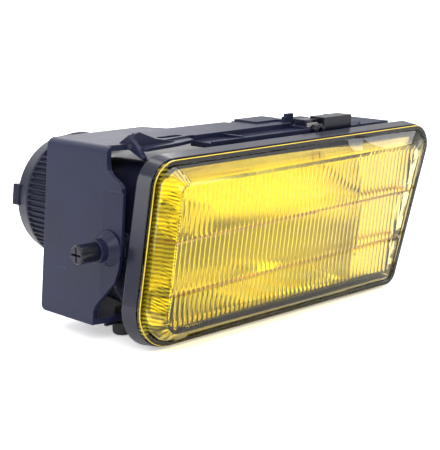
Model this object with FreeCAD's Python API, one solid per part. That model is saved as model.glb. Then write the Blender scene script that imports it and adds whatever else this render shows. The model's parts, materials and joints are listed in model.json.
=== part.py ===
import FreeCAD, Part
import math
import os

from FreeCAD import Matrix, Vector

os.makedirs("parts", exist_ok=True)

# Fog light, millimetres. Modelled about the centre of the lens flange plane:
# +X towards the inboard end, +Y rearwards, +Z up. Export moves it so that the
# origin is below the centre of the whole lamp, on the surface it stands on.

# Lens flange and rim
flange_half_height = 41.0
flange_left_top = -85.8
flange_left_bottom = -100.1
flange_right_top = 109.5
flange_right_bottom = 78.3
flange_corner_radii = [13.0, 10.5, 8.0, 17.0]
flange_thickness = 2.2
rim_depth = 7.8
rim_lip = 1.6
rim_front_lip = 0.5
rim_wall = 2.5

# Lens wall and face; the face comes nearer the flange towards the inboard end
lens_wall = 2.3
face_corners = [(-80.9, 33.0), (95.0, 32.2), (69.0, -35.5), (-92.4, -32.5)]
face_corner_radii = [6.0, 6.0, 5.0, 7.0]
face_depth_left = 13.4
face_depth_right = 5.0
skirt_depth_left = 4.6
skirt_depth_right = 1.4

# Tilt axis of the lamp unit
tilt_y = 20.0
tilt_z = 1.5

# Bowl of the lamp housing: middle section and rear plate, with their depths
bowl_middle_y = 24.0
bowl_middle_corners = [(-84.0, 37.5), (78.0, 37.5), (62.0, -29.0), (-91.0, -29.0)]
bowl_rear_y = 64.0
bowl_rear_corners = [(-82.0, 36.5), (20.0, 36.5), (16.0, -27.0), (-86.0, -27.0)]
bowl_radii = [14.0, 14.0, 12.0, 14.0]
bowl_wall = 2.5
bowl_rim_inset = 4.0
reflector_gap = 1.0
reflector_wall = 1.5

# Bulb and cap axis
bulb_x = -48.3
bulb_z = 8.2
focal_length = 44.0
vertex_y = 59.0
bulb_hole_radius = 5.5
seat_y = 61.0

# Rear neck and cap
neck_outer_radius = 28.5
neck_inner_radius = 25.0
neck_end_y = 92.0
shoulder_radius = 32.0
shoulder_y = 76.0
shoulder_thickness = 2.0
cap_front_y = 80.0
cap_chamfer_y = 101.3
cap_back_y = 112.0
cap_radius = 32.7
cap_back_radius = 29.9
cap_inner_radius = 29.6
cap_grooves = 72
grip_height = 2.0
grip_width = 12.0
grip_reach = 33.6
grip_turn = 6.5
grip_lug_front_y = 108.5

# Mounting frame
frame_wall = 2.5
frame_top = 45.7
frame_bottom = -34.1
frame_rear_y = 66.0
left_wall_top_x = -92.2
left_wall_bottom_x = -98.8
fold_y = 23.5
fold_depth = 0.9
wall_corner_radius = 3.0
right_wall_top_x = 94.5
right_wall_bottom_x = 79.0
right_wall_top_z = 42.0
right_wall_front_y = 16.4
right_wall_rear_y = 60.0
ledge_z = 43.0
ledge_left_x = -39.0
plate_right_x = 28.0
foot_bottom = -flange_half_height - rim_lip
foot_xs = (-20.0, 55.0)
foot_y = 55.0
foot_radius = 8.0
sleeve_outer_radius = 4.5
sleeve_hole_radius = 3.1

# Pivot pins
peg_tip_x = -113.0
peg_shoulder_x = -103.0
peg_radius = 4.25
journal_radius = 3.0
running_clearance = 0.06
bush_outer_radius = 4.6
left_bush_end_x = -86.2

# Aiming adjuster
adjuster_x = 33.0
adjuster_z = 42.5
adjuster_radius = 2.0
nut_half_width = 3.5
nut_half_length = 4.5
nut_clearance = 0.5
knob_radius = 3.6
screw_play = 0.3
clip_room_radius = 4.6
adjuster_bridge_front_y = 30.0
adjuster_bridge_rear_y = 36.0

# Connector on the rear plate
connector_x = 2.0
connector_z = 5.0
pin_spacing = 8.0
lead_radius = 1.1
lead_y = 60.0

# Vent elbow above the connector
vent_x = -4.0
vent_z = 24.0

# Gasket, reflector front, buffer, frame bend and the bulb's spring clip
gasket_inset = 1.2
gasket_width = 1.8
gasket_depth = 2.0
reflector_front_y = 3.0
bezel_inset = 7.7
buffer_x = -79.0
buffer_y = 31.0
buffer_room_radius = 5.4
bend_radius = 4.0
clip_pivot_y = 65.5
clip_pivot_z = bulb_z + 16.5
clip_half_width = 6.2
clip_wire = 0.6
wire_play = 0.08

# Overall limits, used to centre the exported model
lowest_z = foot_bottom
most_left_x = peg_tip_x
most_right_x = 106.37
most_front_y = -13.04
most_rear_y = cap_back_y + grip_height
shift = Vector(-(most_left_x + most_right_x) / 2, -(most_front_y + most_rear_y) / 2, -lowest_z)


def box(x0, x1, y0, y1, z0, z1):
    return Part.makeBox(x1 - x0, y1 - y0, z1 - z0, Vector(x0, y0, z0))


def rod(radius, start, end):
    direction = end - start
    return Part.makeCylinder(radius, direction.Length, start, direction)


def tube(outer, inner, start, end):
    return rod(outer, start, end).cut(rod(inner, start, end))


def cone(radius_start, radius_end, start, end):
    direction = end - start
    return Part.makeCone(radius_start, radius_end, direction.Length, start, direction)


def tidy(shape):
    """Merge faces that lie on one surface, unless that would spoil the solid."""
    refined = shape.removeSplitter()
    return refined if refined.isValid() else shape


def join(shapes):
    result = shapes[0]
    for shape in shapes[1:]:
        result = tidy(result.fuse(shape))
    return result


def carve(body, tools):
    for tool in tools:
        body = tidy(body.cut(tool))
    return body


def prism_y(points, y0, y1):
    wire = Part.makePolygon([Vector(x, y0, z) for x, z in points + points[:1]])
    return Part.Face(wire).extrude(Vector(0, y1 - y0, 0))


def prism_z(points, z0, z1):
    wire = Part.makePolygon([Vector(x, y, z0) for x, y in points + points[:1]])
    return Part.Face(wire).extrude(Vector(0, 0, z1 - z0))


def prism_x(points, x0, x1):
    wire = Part.makePolygon([Vector(x0, y, z) for y, z in points + points[:1]])
    return Part.Face(wire).extrude(Vector(x1 - x0, 0, 0))


def inset_corners(corners, amount):
    """Move every side of a clockwise four-corner outline inwards by the amount."""
    lines = []
    for index, (x0, z0) in enumerate(corners):
        x1, z1 = corners[(index + 1) % 4]
        length = math.hypot(x1 - x0, z1 - z0)
        along = ((x1 - x0) / length, (z1 - z0) / length)
        inward = (along[1], -along[0])
        lines.append(((x0 + inward[0] * amount, z0 + inward[1] * amount), along))
    moved = []
    for index in range(4):
        (px, pz), (ax, az) = lines[index - 1]
        (qx, qz), (bx, bz) = lines[index]
        cross = ax * bz - az * bx
        step = ((qx - px) * bz - (qz - pz) * bx) / cross
        moved.append((px + ax * step, pz + az * step))
    return moved


def outline(corners, radii, y=0.0, inset=0.0, lean=None):
    """Rounded four-corner wire at a depth; lean is (depth at left, depth at right)."""
    points = [Vector(x, y, z) for x, z in inset_corners(corners, inset)]
    edges = []
    starts = []
    ends = []
    arcs = []
    for index in range(4):
        corner = points[index]
        before = (points[index - 1] - corner).normalize()
        after = (points[(index + 1) % 4] - corner).normalize()
        half_angle = before.getAngle(after) / 2
        radius = max(radii[index] - inset, 1.5)
        reach = radius / math.tan(half_angle)
        start = corner + before * reach
        end = corner + after * reach
        bisector = (before + after).normalize()
        middle = corner + bisector * (radius / math.sin(half_angle) - radius)
        starts.append(start)
        ends.append(end)
        arcs.append(Part.Arc(start, middle, end).toShape())
    for index in range(4):
        edges.append(arcs[index])
        edges.append(Part.makeLine(ends[index], starts[(index + 1) % 4]))
    wire = Part.Wire(edges)
    if lean is None:
        return wire
    left_depth, right_depth = lean
    left_x = flange_left_bottom
    slope = (right_depth - left_depth) / (flange_right_top - left_x)
    shear = Matrix()
    shear.A21 = slope
    shear.A24 = left_depth - slope * left_x
    return wire.transformGeometry(shear)


def loft(*wires):
    return Part.makeLoft(list(wires), True, True)


flange_corners = [
    (flange_left_top, flange_half_height),
    (flange_right_top, flange_half_height),
    (flange_right_bottom, -flange_half_height),
    (flange_left_bottom, -flange_half_height),
]


def flange_outline(y, inset, lean=None):
    return outline(flange_corners, flange_corner_radii, y, inset, lean)


def flange_slab(y0, y1, inset):
    return Part.Face(flange_outline(y0, inset)).extrude(Vector(0, y1 - y0, 0))


def lens_volume(inset, depth_change):
    """The bulging part of the lens, grown inwards by the inset."""
    back = flange_outline(0, flange_thickness + inset)
    skirt_change = min(depth_change, skirt_depth_right / 2)
    skirt_lean = (-skirt_depth_left + skirt_change, -skirt_depth_right + skirt_change)
    skirt = flange_outline(0, flange_thickness + inset + 0.4, skirt_lean)
    face_lean = (-face_depth_left + depth_change, -face_depth_right + depth_change)
    face = outline(face_corners, face_corner_radii, 0, inset, face_lean)
    return loft(back, skirt, face)


def make_lens():
    """Flange with the bulging front, hollowed to an even wall."""
    flange = flange_slab(-flange_thickness, 0, 0)
    solid = flange.fuse(lens_volume(0, 0))
    return tidy(solid.cut(lens_volume(lens_wall, lens_wall)))


def make_lens_gasket():
    """Soft ring between the lens flange and the rim of the housing."""
    outer = flange_slab(0, gasket_depth, gasket_inset)
    return outer.cut(flange_slab(0, gasket_depth, gasket_inset + gasket_width))


def bowl_volume(inset, front_y, rear_y):
    """Inside or outside of the bowl; it is straight as far as the back of the rim."""
    front = flange_outline(front_y, bowl_rim_inset + inset)
    rim = flange_outline(rim_depth - 1, bowl_rim_inset + inset)
    middle = outline(bowl_middle_corners, bowl_radii, bowl_middle_y, inset)
    rear = outline(bowl_rear_corners, bowl_radii, rear_y, inset)
    return loft(front, rim, middle, rear)


def along_bulb(y):
    return Vector(bulb_x, y, bulb_z)


def parabola_volume(vertex, front_y, extra_radius=0.0):
    """Solid in front of a parabolic dish around the bulb axis."""
    points = []
    steps = 24
    depth = vertex - front_y
    for step in range(steps + 1):
        y = depth * (step / steps) ** 2
        points.append(Vector(math.sqrt(4 * focal_length * y) + extra_radius * step / steps, -y, 0))
    curve = Part.BSplineCurve()
    curve.interpolate(points)
    centre_line = Part.makeLine(Vector(0, 0, 0), Vector(0, -depth, 0))
    lid = Part.makeLine(Vector(0, -depth, 0), points[-1])
    profile = Part.Face(Part.Wire([curve.toShape(), lid, centre_line]))
    dish = profile.revolve(Vector(0, 0, 0), Vector(0, 1, 0), 360)
    dish.translate(Vector(bulb_x, vertex, bulb_z))
    return dish


reflector_back_y = bowl_rear_y - bowl_wall - reflector_gap


def make_reflector():
    """Dish trimmed to the inside of the bowl, with a bezel at the front and the bulb seat."""
    room = bowl_volume(bowl_wall + reflector_gap, reflector_front_y, reflector_back_y)
    inner_room = bowl_volume(bowl_wall + reflector_gap + reflector_wall, reflector_front_y, reflector_back_y)
    front = reflector_front_y
    shell = room.common(parabola_volume(vertex_y + reflector_wall, front, 0.8))
    bezel = flange_slab(front, front + reflector_wall, bezel_inset)
    seat = rod(16.0, along_bulb(vertex_y - 4.0), along_bulb(seat_y))
    body = join([shell, bezel, seat])
    hollow = inner_room.common(parabola_volume(vertex_y, front))
    hole = rod(bulb_hole_radius, along_bulb(vertex_y - 6.0), along_bulb(seat_y + 1))
    return body.cut(hollow).cut(hole)


def screw_places():
    return [(-76.0, 30.0), (12.0, 30.0), (10.0, -21.0)]


def make_reflector_screws():
    """Three cross-slot screws that hold the reflector through the rear plate."""
    screws = []
    for x, z in screw_places():
        head = rod(3.2, Vector(x, bowl_rear_y, z), Vector(x, bowl_rear_y + 2.2, z))
        shank = rod(1.6, Vector(x, bowl_rear_y - 6.0, z), Vector(x, bowl_rear_y, z))
        slot = box(x - 2.4, x + 2.4, bowl_rear_y + 1.2, bowl_rear_y + 3, z - 0.4, z + 0.4)
        cross = box(x - 0.4, x + 0.4, bowl_rear_y + 1.2, bowl_rear_y + 3, z - 2.4, z + 2.4)
        screws.append(tidy(head.fuse(shank).cut(slot).cut(cross)))
    return Part.makeCompound(screws)


def make_lamp_housing():
    """Rim, bowl, rear neck with three bayonet ramps, pivot bosses and the adjuster lug."""
    rim_outer = loft(flange_outline(0, -rim_front_lip), flange_outline(rim_depth, -rim_lip))
    bowl = bowl_volume(0, 2.0, bowl_rear_y)
    neck = rod(neck_outer_radius, along_bulb(bowl_rear_y - 1), along_bulb(neck_end_y))
    shoulder = rod(shoulder_radius, along_bulb(shoulder_y), along_bulb(shoulder_y + shoulder_thickness))
    lug = box(adjuster_x - 4.5, adjuster_x + 5, tilt_y - 3.5, tilt_y + 3.5, 32.0, adjuster_z + 5.2)
    left_boss = rod(7.0, Vector(-91.6, tilt_y, tilt_z), Vector(-80.0, tilt_y, tilt_z))
    right_boss = rod(7.0, Vector(66.0, tilt_y, tilt_z), Vector(80.6, tilt_y, tilt_z))
    body = join([rim_outer, bowl, neck, shoulder, lug, left_boss, right_boss])
    for index in range(3):
        angle = math.radians(90 + 120 * index)
        x = bulb_x + math.cos(angle) * neck_outer_radius
        z = bulb_z + math.sin(angle) * neck_outer_radius
        ramp = rod(2.2, Vector(x, 84.0, z), Vector(x, 87.0, z))
        limit = tube(50.0, neck_outer_radius + 0.7, along_bulb(83.0), along_bulb(88.0))
        body = tidy(body.fuse(ramp.cut(limit)))
    hollow = bowl_volume(bowl_wall, -1, bowl_rear_y - bowl_wall)
    neck_hollow = rod(neck_inner_radius, along_bulb(bowl_rear_y - 5), along_bulb(neck_end_y + 1))
    nut_z = adjuster_z - 3.5
    nut_hole = box(adjuster_x - 3.5, adjuster_x + 3.5, tilt_y - 5, tilt_y + 5, nut_z, nut_z + 7.0)
    left_bore = rod(bush_outer_radius, Vector(-93, tilt_y, tilt_z), Vector(left_bush_end_x, tilt_y, tilt_z))
    right_bore = rod(bush_outer_radius, Vector(71.0, tilt_y, tilt_z), Vector(82, tilt_y, tilt_z))
    plug = box(connector_x - 8, connector_x + 8, 58, 70, connector_z - 5, connector_z + 5)
    vent = rod(3.0, Vector(vent_x, 58, vent_z), Vector(vent_x, 70, vent_z))
    screw_holes = [rod(1.6, Vector(x, 58, z), Vector(x, 66, z)) for x, z in screw_places()]
    tools = [hollow, neck_hollow, make_lens_gasket(), nut_hole, left_bore, right_bore, plug, vent]
    return carve(body, tools + screw_holes)


def make_pivot_bushes():
    """Plain bearing bushes pressed into the two bosses of the housing."""
    bore = journal_radius + running_clearance
    left_start = Vector(-91.6, tilt_y, tilt_z)
    left_end = Vector(left_bush_end_x, tilt_y, tilt_z)
    left = tube(bush_outer_radius, bore, left_start, left_end)
    right = tube(bush_outer_radius, bore, Vector(71.0, tilt_y, tilt_z), Vector(80.6, tilt_y, tilt_z))
    return Part.makeCompound([left, right])


def make_adjuster_nut():
    """Square nut held in the lug; its bore leaves the screw room to rock."""
    left, right = adjuster_x - nut_half_width, adjuster_x + nut_half_width
    low, high = adjuster_z - nut_half_width, adjuster_z + nut_half_width
    block = box(left, right, tilt_y - nut_half_length, tilt_y + nut_half_length, low, high)
    bore_start = Vector(adjuster_x, 0, adjuster_z)
    bore_end = Vector(adjuster_x, 40, adjuster_z)
    bore = rod(adjuster_radius + nut_clearance, bore_start, bore_end)
    return block.cut(bore)


def along_adjuster(y):
    return Vector(adjuster_x, y, adjuster_z)


def adjuster_passage():
    """Bore for the screw through the frame, with room for its two clips."""
    bore = rod(adjuster_radius + screw_play, along_adjuster(8.0), along_adjuster(60.0))
    front = rod(clip_room_radius, along_adjuster(28.2), along_adjuster(adjuster_bridge_front_y))
    rear = rod(clip_room_radius, along_adjuster(adjuster_bridge_rear_y), along_adjuster(41.0))
    return [bore, front, rear]


def left_wall_x(z):
    fraction = (frame_top - z) / (frame_top - frame_bottom)
    return left_wall_top_x + (left_wall_bottom_x - left_wall_top_x) * fraction


def right_wall_x(z):
    fraction = (right_wall_top_z - z) / (right_wall_top_z - frame_bottom)
    return right_wall_top_x + (right_wall_bottom_x - right_wall_top_x) * fraction


def left_wall_fold():
    """Thin wedge taken off the outside of the left wall, in front of its fold line."""
    top = frame_top + 1
    bottom = frame_bottom - 1
    outside = 2.0
    sections = []
    for y, depth in ((11.0, fold_depth), (fold_y, 0.02)):
        corners = [
            Vector(left_wall_x(top) - outside, y, top),
            Vector(left_wall_x(bottom) - outside, y, bottom),
            Vector(left_wall_x(bottom) + depth, y, bottom),
            Vector(left_wall_x(top) + depth, y, top),
        ]
        sections.append(Part.makePolygon(corners + corners[:1]))
    wedge = Part.makeLoft(sections, True, True)
    fold_low_y = fold_y + 5.5
    outline = [
        (fold_y, 27.0), (fold_y, -4.3), (fold_low_y, -11.7),
        (fold_low_y, bottom), (5, bottom), (5, 27.0),
    ]
    region = prism_x(outline, -120, -60)
    return wedge.common(region)


def make_left_wall():
    """Leaning left wall; its front edge follows an S-curve from top to bottom."""
    top = frame_top
    bottom = frame_bottom
    outer = [(left_wall_x(top), top), (left_wall_x(bottom), bottom)]
    inner = [(left_wall_x(bottom) + frame_wall, bottom), (left_wall_x(top) + frame_wall, top)]
    wall = prism_y(outer + inner, 12.0, frame_rear_y)
    front_profile = [
        (23.4, top + 1), (23.1, 38.5), (22.4, 35.6), (20.4, 33.6), (14.0, 30.4), (12.4, 28.6), (12.0, 26.4),
        (12.0, 1.4), (12.8, -6.4), (15.0, -12.8), (26.4, -24.8), (27.8, -27.6), (28.0, bottom - 1),
        (0.0, bottom - 1), (0.0, top + 1),
    ]
    radius = wall_corner_radius
    corner = box(-120, -60, frame_rear_y - radius, frame_rear_y + 1, bottom - 1, bottom + radius)
    centre = Vector(-121, frame_rear_y - radius, bottom + radius)
    corner = corner.cut(rod(radius, centre, centre + Vector(62, 0, 0)))
    return carve(wall, [prism_x(front_profile, -120, -60), left_wall_fold(), corner])


def make_top_plate():
    """Top plate with its curved front edge, oval slot and raised pad."""
    outline_points = [
        (left_wall_top_x, 26.9), (-77.6, 22.3), (-67.0, 21.0),
        (-58.0, 23.5), (-42.0, 26.0), (plate_right_x, 26.0),
        (plate_right_x + 4, 32.0), (plate_right_x + 4, 50.0), (11.0, 51.0), (10.0, 48.0), (6.5, 48.0),
        (6.0, 51.0), (-31.0, 53.0), (-36.0, frame_rear_y), (left_wall_top_x, frame_rear_y),
    ]
    plate = prism_z(outline_points, frame_top - frame_wall, frame_top)
    pad = box(12.0, plate_right_x + 4, 34.0, 50.0, frame_top, frame_top + 1.0)
    slot = box(-55.0, -46.0, 27.0, 32.0, 40, 50)
    for x in (-55.0, -46.0):
        slot = slot.fuse(rod(2.5, Vector(x, 29.5, 40), Vector(x, 29.5, 50)))
    return plate.cut(slot).fuse(pad)


def make_ledge():
    """Lower ledge along the front of the top plate, with ribs, lip and an upright tab."""
    floor = box(ledge_left_x, plate_right_x, 12.5, 27.0, ledge_z - frame_wall, ledge_z)
    riser = box(ledge_left_x, plate_right_x, 25.0, 27.5, ledge_z - frame_wall, frame_top)
    ribs = [box(x, x + 1.4, 13.0, 26.0, ledge_z - 1, ledge_z + 1.6) for x in (-20.0, plate_right_x - 1.4)]
    lip = box(ledge_left_x, plate_right_x, 12.5, 13.9, ledge_z - frame_wall, ledge_z + 0.9)
    tab = box(25.0, 31.5, 27.4, 29.4, frame_top - 1, 50.0)
    tab_notch = box(24.0, 26.4, 26.0, 30.0, 48.6, 51.0)
    return join([floor, riser, lip] + ribs + [tab.cut(tab_notch)])


def make_gusset():
    """Peaked gusset between the top plate and the left wall."""
    web_outline = [
        (-82.0, 43.5), (-79.0, 50.5), (-76.5, 51.0),
        (-67.0, 47.2), (-56.0, 45.2), (-56.0, 43.5),
    ]
    side_outline = [
        (12.5, 39.4), (12.5, 41.0), (22.0, 50.0),
        (30.0, 45.0), (30.0, 43.5), (22.0, 43.5),
    ]
    web = prism_y(web_outline, 20.0, 22.5)
    side = prism_x(side_outline, -81.0, -78.8)
    shelf = prism_z([(-79.0, 13.0), (-57.0, 16.0), (-44.0, 20.0), (-42.0, 27.0), (-79.0, 24.0)], 43.2, 44.8)
    return join([web, side, shelf])


def make_right_side():
    """Right wall, its top strip, the bridge that carries the adjuster, and small tabs."""
    top = right_wall_top_z
    bottom = frame_bottom
    outer = [(right_wall_x(top), top), (right_wall_x(bottom), bottom)]
    inner = [(right_wall_x(bottom) - frame_wall, bottom), (right_wall_x(top) - frame_wall, top)]
    wall = prism_y(outer + inner, right_wall_front_y, right_wall_rear_y)
    strip = box(41.0, right_wall_x(top) - 1, right_wall_front_y, 50.0, top - frame_wall, top)
    bridge_front, bridge_rear = adjuster_bridge_front_y, adjuster_bridge_rear_y
    bridge = box(plate_right_x - 1, 46.0, bridge_front, bridge_rear, top - frame_wall, frame_top + 1.0)
    link = box(plate_right_x - 3, plate_right_x + 4, 30.0, 50.0, top - frame_wall, frame_top)
    clip_tab = box(40.0, 57.0, 17.0, 19.0, top - 1, 46.5)
    second_tab = box(61.0, 69.0, 24.0, 26.0, top - 1, 46.0)
    wedge = prism_y([(66.0, top - 1), (72.0, top - 1), (72.0, top + 1.2)], 17.0, 22.0)
    return join([wall, strip, bridge, link, clip_tab, second_tab, wedge])


def make_bottom_plate():
    """Bottom plate with two windows, ribs underneath and two bolt-down feet."""
    bottom = frame_bottom
    left = left_wall_bottom_x
    right = right_wall_bottom_x
    points = [(left + 0.5, 27.9), (-90.0, 26.0), (right - 1, 26.0), (right - 0.5, 60.0), (60.0, 65.0),
              (-92.0, 65.0), (left + 0.5, 60.0)]
    plate = prism_z(points, bottom, bottom + frame_wall)
    window = box(-60.0, -32.0, 34.0, 58.0, bottom - 1, bottom + 4)
    second_window = box(0.0, 38.0, 34.0, 58.0, bottom - 1, bottom + 4)
    ribs = [box(x, x + 1.6, 29.0, 60.0, bottom - 2.5, bottom + 0.5) for x in (-88.0, -70.0, -26.0, 64.0)]
    cross_rib = box(-90.0, 74.0, 29.0, 30.6, bottom - 2.5, bottom + 0.5)
    feet = [rod(foot_radius, Vector(x, foot_y, foot_bottom), Vector(x, foot_y, bottom + 1)) for x in foot_xs]
    body = join([plate.cut(window).cut(second_window), cross_rib] + ribs + feet)
    for x in foot_xs:
        body = body.cut(rod(sleeve_outer_radius, Vector(x, foot_y, foot_bottom - 1), Vector(x, foot_y, 0)))
    room = rod(buffer_room_radius, Vector(buffer_x, buffer_y, bottom - 5), Vector(buffer_x, buffer_y, bottom))
    hole = rod(2.0, Vector(buffer_x, buffer_y, bottom - 5), Vector(buffer_x, buffer_y, bottom + 5))
    return carve(body, [room, hole])


def top_left_bend():
    """What the rounded bend takes off the corner of the left wall and the top plate."""
    x = left_wall_top_x - 0.4
    z = frame_top
    corner = box(x - 2, x + bend_radius, 0, frame_rear_y + 2, z - bend_radius, z + 2)
    centre_start = Vector(x + bend_radius, 0, z - bend_radius)
    return corner.cut(rod(bend_radius, centre_start, centre_start + Vector(0, frame_rear_y + 2, 0)))


def make_mounting_frame():
    """The whole moulded frame, joined from its walls and bored for pins and adjuster."""
    left = make_left_wall()
    wall_x = left_wall_x(tilt_z)
    cone_start = Vector(wall_x + 0.5, tilt_y, tilt_z)
    cone_end = Vector(wall_x - 3.4, tilt_y, tilt_z)
    boss = rod(5.4, Vector(wall_x, tilt_y, tilt_z), Vector(peg_shoulder_x, tilt_y, tilt_z))
    left = join([left, cone(8.5, 5.6, cone_start, cone_end), boss])
    left = tidy(left.cut(rod(journal_radius, Vector(-110, tilt_y, tilt_z), Vector(-85, tilt_y, tilt_z))))
    right_x = right_wall_x(tilt_z)
    right_boss = rod(7.0, Vector(right_x - 2.2, tilt_y, tilt_z), Vector(right_x + 3.5, tilt_y, tilt_z))
    right = join([make_right_side(), right_boss])
    right = tidy(right.cut(rod(journal_radius, Vector(75, tilt_y, tilt_z), Vector(100, tilt_y, tilt_z))))
    body = join([left, make_top_plate(), make_ledge(), make_gusset(), right, make_bottom_plate()])
    return carve(body, [top_left_bend()] + adjuster_passage())


def make_left_pivot_pin():
    """Pivot journal that ends in a cross-slotted locating peg."""
    peg = rod(peg_radius, Vector(peg_tip_x, tilt_y, tilt_z), Vector(peg_shoulder_x, tilt_y, tilt_z))
    peg = peg.makeChamfer(0.5, [peg.Edges[2]])
    journal_start = Vector(peg_shoulder_x, tilt_y, tilt_z)
    journal_end = Vector(left_bush_end_x, tilt_y, tilt_z)
    journal = rod(journal_radius, journal_start, journal_end)
    body = peg.fuse(journal)
    arm = 3.3
    deep = peg_tip_x + 1.6
    slot = box(peg_tip_x - 1, deep, tilt_y - arm, tilt_y + arm, tilt_z - 0.5, tilt_z + 0.5)
    cross = box(peg_tip_x - 1, deep, tilt_y - 0.5, tilt_y + 0.5, tilt_z - arm, tilt_z + arm)
    return tidy(body.cut(slot).cut(cross))


def make_right_pivot_pin():
    """Pivot journal with a round head outside the right wall."""
    head_x = right_wall_x(tilt_z) + 3.5
    journal = rod(journal_radius, Vector(72.0, tilt_y, tilt_z), Vector(head_x, tilt_y, tilt_z))
    head = rod(5.0, Vector(head_x, tilt_y, tilt_z), Vector(head_x + 2.0, tilt_y, tilt_z))
    return tidy(journal.fuse(head))


def make_fixing_sleeves():
    """Steel sleeves that line the two bolt holes."""
    sleeves = []
    for x in foot_xs:
        start = Vector(x, foot_y, foot_bottom)
        end = Vector(x, foot_y, frame_bottom + 1)
        sleeves.append(tube(sleeve_outer_radius, sleeve_hole_radius, start, end))
    return Part.makeCompound(sleeves)


def make_rubber_buffer():
    """Buffer pushed through the bottom plate; its knob stands on the car body."""
    under = frame_bottom
    stem = rod(2.0, Vector(buffer_x, buffer_y, under - 1), Vector(buffer_x, buffer_y, under + frame_wall))
    knob = rod(4.6, Vector(buffer_x, buffer_y, foot_bottom), Vector(buffer_x, buffer_y, under - 2.5))
    knob = knob.makeFillet(1.8, [knob.Edges[2]])
    neck = rod(2.6, Vector(buffer_x, buffer_y, under - 3), Vector(buffer_x, buffer_y, under))
    top = rod(3.4, Vector(buffer_x, buffer_y, under + frame_wall), Vector(buffer_x, buffer_y, under + 4.0))
    return join([stem, knob, neck, top])


def make_tab_clip():
    """Plastic block pushed over the upright tab."""
    body = box(38.0, 59.0, 12.5, 22.0, right_wall_top_z, 48.5)
    pocket = box(39.9, 57.1, 16.9, 19.1, right_wall_top_z - 1, 46.6)
    return body.cut(pocket)


def make_adjuster_screw():
    """Aiming screw with a fluted-key recess in its round knob."""
    shank = rod(adjuster_radius, along_adjuster(12.5), along_adjuster(40.0))
    knob = rod(knob_radius, along_adjuster(10.4), along_adjuster(12.9))
    knob = knob.makeFillet(0.6, [knob.Edges[2]])
    recess = rod(1.6, along_adjuster(9.6), along_adjuster(11.9))
    return tidy(shank.fuse(knob).cut(recess))


def make_adjuster_clips():
    """Snap rings on both sides of the bridge."""
    clips = []
    gap = 0.2
    width = 1.0
    for start in (adjuster_bridge_front_y - gap - width, adjuster_bridge_rear_y + gap):
        end = start + width
        ring = tube(4.0, adjuster_radius, along_adjuster(start), along_adjuster(end))
        mouth = box(adjuster_x - 1.4, adjuster_x + 1.4, start - 1, end + 1, adjuster_z + 1, adjuster_z + 6)
        clips.append(ring.cut(mouth))
    return Part.makeCompound(clips)


def make_bulb_glass():
    """Thin closed bulb envelope."""
    glass = rod(4.6, along_bulb(37.0), along_bulb(62.2))
    tip = Part.makeSphere(4.6, along_bulb(37.0))
    return tidy(glass.fuse(tip)).cut(rod(3.6, along_bulb(37.0), along_bulb(60.0)))


def make_bulb_filament():
    return rod(0.9, along_bulb(38.0), along_bulb(43.0))


def make_bulb_base():
    """Metal flange and barrel behind the envelope."""
    flange = rod(7.0, along_bulb(62.2), along_bulb(63.4))
    barrel = rod(4.8, along_bulb(63.4), along_bulb(69.0))
    return tidy(flange.fuse(barrel))


def make_bulb_insulator():
    return rod(3.6, along_bulb(69.0), along_bulb(71.0))


def make_bulb_contact():
    return box(bulb_x - 3.15, bulb_x + 3.15, 71.0, 79.0, bulb_z - 0.4, bulb_z + 0.4)


def make_supply_terminal():
    """Push-on terminal over the bulb contact, with its crimp barrel."""
    body = box(bulb_x - 3.9, bulb_x + 3.9, 73.5, 80.0, bulb_z - 1.6, bulb_z + 1.6)
    body = body.fuse(rod(1.8, Vector(bulb_x, 76.5, bulb_z + 1.6), Vector(bulb_x, 76.5, bulb_z + 6.0)))
    return tidy(body.cut(make_bulb_contact()))


def make_bulb_holder_plate():
    """Ring that seats the bulb, with the earth tab."""
    plate = tube(14.0, bulb_hole_radius, along_bulb(seat_y), along_bulb(62.2))
    tab = box(bulb_x + 12.0, bulb_x + 20.0, seat_y, 62.2, bulb_z - 2.5, bulb_z + 2.5)
    return tidy(plate.fuse(tab))


def make_bulb_spring_clip():
    """Bent wire clip: two legs, a cross wire over the bulb and two pivot ends."""
    pieces = []
    low_z = bulb_z - 12.0
    leg_y = 64.05
    for side in (-1, 1):
        x = bulb_x + side * clip_half_width
        bend = Vector(x, leg_y, bulb_z + 8)
        pivot = Vector(x, clip_pivot_y, clip_pivot_z)
        pieces.append(rod(clip_wire, Vector(x, leg_y, low_z), bend))
        pieces.append(rod(clip_wire, bend, pivot))
        pieces.append(rod(clip_wire, pivot, Vector(x + side * 6.0, clip_pivot_y, clip_pivot_z)))
        for joint in (Vector(x, leg_y, low_z), bend, pivot):
            pieces.append(Part.makeSphere(clip_wire, joint))
    left = Vector(bulb_x - clip_half_width, leg_y, low_z)
    right = Vector(bulb_x + clip_half_width, leg_y, low_z)
    pieces.append(rod(clip_wire, left, right))
    return join(pieces)


def make_clip_brackets():
    """Two ears that carry the ends of the spring clip."""
    brackets = []
    for side in (-1, 1):
        x = bulb_x + side * (clip_half_width + 3.6)
        ear = box(x - 0.8, x + 0.8, 60.6, clip_pivot_y + 2.0, clip_pivot_z - 2.0, clip_pivot_z + 2.0)
        bore_start = Vector(x - 3, clip_pivot_y, clip_pivot_z)
        bore_end = Vector(x + 3, clip_pivot_y, clip_pivot_z)
        bore = rod(clip_wire + wire_play, bore_start, bore_end)
        brackets.append(ear.cut(bore))
    return Part.makeCompound(brackets)


def make_bulb_shield():
    """Cup in front of the bulb on two legs from the dish."""
    cup = tube(8.0, 7.2, along_bulb(24.0), along_bulb(33.0))
    lid = rod(8.0, along_bulb(23.0), along_bulb(24.0))
    legs = []
    for side in (-1, 1):
        z = bulb_z + side * 7.6
        leg_end = vertex_y - (side * 7.6) ** 2 / (4 * focal_length) - 0.1
        legs.append(box(bulb_x - 1.2, bulb_x + 1.2, 33.0, leg_end, z - 0.4, z + 0.4))
    return join([cup, lid] + legs)


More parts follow.
